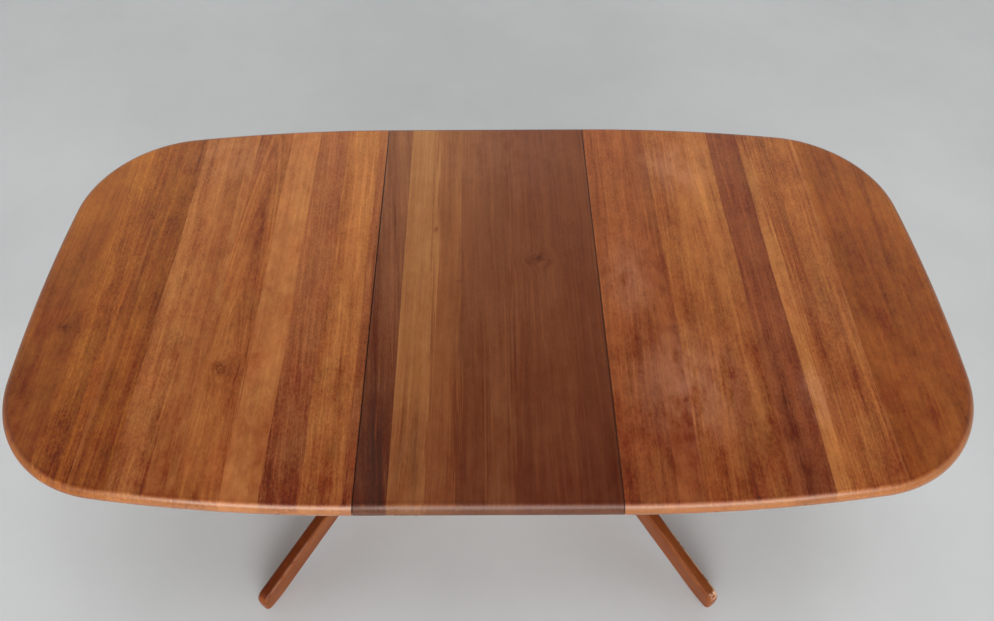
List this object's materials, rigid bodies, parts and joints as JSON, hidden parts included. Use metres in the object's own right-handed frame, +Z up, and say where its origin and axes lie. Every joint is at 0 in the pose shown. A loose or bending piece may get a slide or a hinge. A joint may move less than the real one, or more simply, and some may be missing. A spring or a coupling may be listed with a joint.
{
  "type": "extension dining table",
  "caption": "Oval-ended teak dining table whose halves slide apart on grooved runners for a loose centre leaf, on a double pedestal with splayed feet.",
  "frame": {"origin": "on the floor under the middle of the table", "axes": "+X along the table, +Y from the front to the back, +Z up"},
  "size_m": [1.9516, 1.06, 0.725],
  "materials": {
    "teak_top": "satin oil",
    "teak_base": "satin oil",
    "beech": "waxed",
    "screw_steel": "zinc plated",
    "glide_plastic": "moulded"
  },
  "bodies": {
    "base": {"left_column": "teak_base", "right_column": "teak_base", "left_bearer": "beech", "right_bearer": "beech", "front_rail": "beech", "back_rail": "beech", "front_rail_keys": "beech", "back_rail_keys": "beech", "rail_screws": "screw_steel", "stretcher": "teak_base", "stretcher_tenons": "beech", "front_left_foot": "teak_base", "back_left_foot": "teak_base", "front_right_foot": "teak_base", "back_right_foot": "teak_base", "foot_tenons": "beech", "floor_glides": "glide_plastic"},
    "left_half": {"left_top_half": "teak_top", "left_front_runner": "beech", "left_back_runner": "beech", "left_front_batten": "beech", "left_back_batten": "beech", "left_runner_screws": "screw_steel", "left_batten_screws": "screw_steel", "left_stop_pegs": "beech"},
    "right_half": {"right_top_half": "teak_top", "right_front_runner": "beech", "right_back_runner": "beech", "right_front_batten": "beech", "right_back_batten": "beech", "right_runner_screws": "screw_steel", "right_batten_screws": "screw_steel", "right_stop_pegs": "beech"},
    "leaf": {"centre_leaf": "teak_top", "leaf_front_batten": "beech", "leaf_back_batten": "beech", "leaf_batten_screws": "screw_steel"}
  },
  "joints": [
    {"name": "left_half_slide", "type": "slide", "parent": "base", "child": "left_half", "axis": [-1, 0, 0], "range_m": [0, 0.04]},
    {"name": "right_half_slide", "type": "slide", "parent": "base", "child": "right_half", "axis": [1, 0, 0], "range_m": [0, 0.04]},
    {"name": "leaf_lift", "type": "slide", "parent": "base", "child": "leaf", "axis": [0, 0, 1], "range_m": [0, 0.3]}
  ]
}
